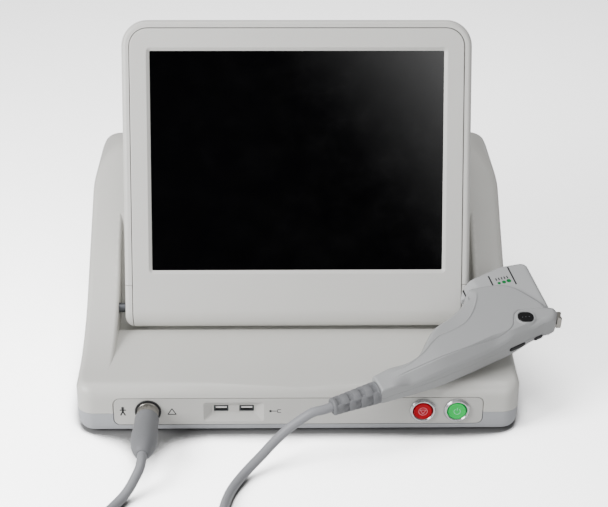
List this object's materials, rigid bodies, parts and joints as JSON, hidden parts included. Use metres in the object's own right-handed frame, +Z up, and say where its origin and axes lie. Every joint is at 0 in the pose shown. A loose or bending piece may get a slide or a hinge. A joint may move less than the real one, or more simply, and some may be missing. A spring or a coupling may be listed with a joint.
{
  "type": "desktop ultrasound unit",
  "caption": "Desktop ultrasound unit: cradle-shaped console with a tilting touch display, front controls, rear mains panel and a corded gun-shaped handpiece with a slide-out cartridge.",
  "frame": {"origin": "on the table, under the middle of the box round the console and the handpiece, cord left out", "axes": "+X to the viewer's right across the display, +Y to the back of the console, +Z up"},
  "size_m": [0.4918, 0.6209, 0.3645],
  "materials": {
    "cover_plastic": "fine moulded texture, warm off-white",
    "pan_plastic": "fine moulded texture, cool grey",
    "panel_plastic": "smooth satin, light grey",
    "bezel_plastic": "smooth satin, warm off-white",
    "foot_rubber": "matt black",
    "zinc_steel": "zinc plated",
    "plain_aluminium": "plain satin",
    "chrome_ring": "bright plated",
    "black_plastic": "black, fine grain",
    "white_plastic": "white insulator",
    "circuit_board": "green solder mask",
    "red_cap": "polished red",
    "green_cap": "polished translucent green",
    "screen_glass": "black panel behind hard glass",
    "handset_plastic": "satin grey",
    "cartridge_plastic": "satin light grey",
    "smoked_window": "polished, nearly black",
    "boot_rubber": "matt moulded grey",
    "cord_jacket": "satin grey jacket"
  },
  "bodies": {
    "console": {"top_cover": "cover_plastic", "base_pan": "pan_plastic", "foot_front_left": "foot_rubber", "foot_front_right": "foot_rubber", "foot_rear_left": "foot_rubber", "foot_rear_right": "foot_rubber", "front_panel": "panel_plastic", "rear_panel": "pan_plastic", "chassis_plate": "zinc_steel", "main_board": "circuit_board", "driver_board": "circuit_board", "port_board": "circuit_board", "power_supply": "plain_aluminium", "hinge_bracket_left": "zinc_steel", "hinge_bracket_right": "zinc_steel", "usb_shell_left": "zinc_steel", "usb_shell_right": "zinc_steel", "usb_tongue_left": "white_plastic", "usb_tongue_right": "white_plastic", "socket_ring": "black_plastic", "connector_socket": "black_plastic", "stop_ring": "chrome_ring", "stop_switch": "black_plastic", "power_ring": "chrome_ring", "power_switch": "black_plastic", "fan_frame": "black_plastic", "fan_guard": "zinc_steel", "mains_inlet": "black_plastic", "mains_switch_frame": "black_plastic", "plug_shell": "chrome_ring", "plug_boot": "boot_rubber", "cord_to_plug": "cord_jacket", "cord_coil": "cord_jacket", "cord_to_handset": "cord_jacket", "coil_tie": "black_plastic"},
    "display": {"display_bezel": "bezel_plastic", "display_rear_shell": "bezel_plastic", "display_lower_shell": "bezel_plastic", "screen_glass": "screen_glass", "lcd_module": "zinc_steel", "display_frame": "zinc_steel", "display_board": "circuit_board", "hinge_shaft_left": "zinc_steel", "hinge_shaft_right": "zinc_steel"},
    "stop_button": {"stop_cap": "red_cap"},
    "power_button": {"power_cap": "green_cap"},
    "fan": {"fan_rotor": "black_plastic"},
    "rocker": {"mains_rocker": "black_plastic"},
    "handset": {"handset_upper_shell": "handset_plastic", "handset_lower_shell": "handset_plastic", "side_window": "smoked_window", "strain_relief": "boot_rubber", "focus_motor": "plain_aluminium", "handset_board": "circuit_board"},
    "cartridge": {"cartridge_case": "cartridge_plastic", "cartridge_window": "smoked_window", "transducer": "plain_aluminium"},
    "latch": {"latch_lever": "plain_aluminium"},
    "rear_trigger": {"handset_button_rear": "black_plastic"},
    "front_trigger": {"handset_button_front": "black_plastic"}
  },
  "joints": [
    {"name": "display_tilt", "type": "hinge", "parent": "console", "child": "display", "pos_m": [-0.0229, -0.0206, 0.0755], "axis": [-1, 0, 0], "range_deg": [0, 15]},
    {"name": "stop_press", "type": "slide", "parent": "console", "child": "stop_button", "axis": [0, 1, 0], "range_m": [0, 0.002], "stiffness_N_per_m": 500, "springref_m": -0.001},
    {"name": "power_press", "type": "slide", "parent": "console", "child": "power_button", "axis": [0, 1, 0], "range_m": [0, 0.002], "stiffness_N_per_m": 500, "springref_m": -0.001},
    {"name": "fan_spin", "type": "hinge", "parent": "console", "child": "fan", "pos_m": [0.0691, 0.1804, 0.082], "axis": [0, 1, 0], "continuous": true},
    {"name": "rocker_tilt", "type": "hinge", "parent": "console", "child": "rocker", "pos_m": [-0.0869, 0.1911, 0.082], "axis": [-1, 0, 0], "range_deg": [0, 16]},
    {"name": "handset_lift", "type": "slide", "parent": "console", "child": "handset", "axis": [0, -0.2656, 0.9641], "range_m": [0, 0.12]},
    {"name": "cartridge_slide", "type": "slide", "parent": "handset", "child": "cartridge", "axis": [1, 0, 0], "range_m": [0, 0.06]},
    {"name": "latch_swing", "type": "hinge", "parent": "handset", "child": "latch", "pos_m": [0.2349, -0.08564, 0.09017], "axis": [0, -0.2656, 0.9641], "range_deg": [0, 15], "stiffness_Nm_per_rad": 0.02, "springref_deg": -5.73},
    {"name": "rear_trigger_press", "type": "slide", "parent": "handset", "child": "rear_trigger", "axis": [-0.494, 0.8383, 0.2309], "range_m": [0, 0.0015], "stiffness_N_per_m": 400, "springref_m": -0.001},
    {"name": "front_trigger_press", "type": "slide", "parent": "handset", "child": "front_trigger", "axis": [-0.494, 0.8383, 0.2309], "range_m": [0, 0.0015], "stiffness_N_per_m": 400, "springref_m": -0.001}
  ]
}
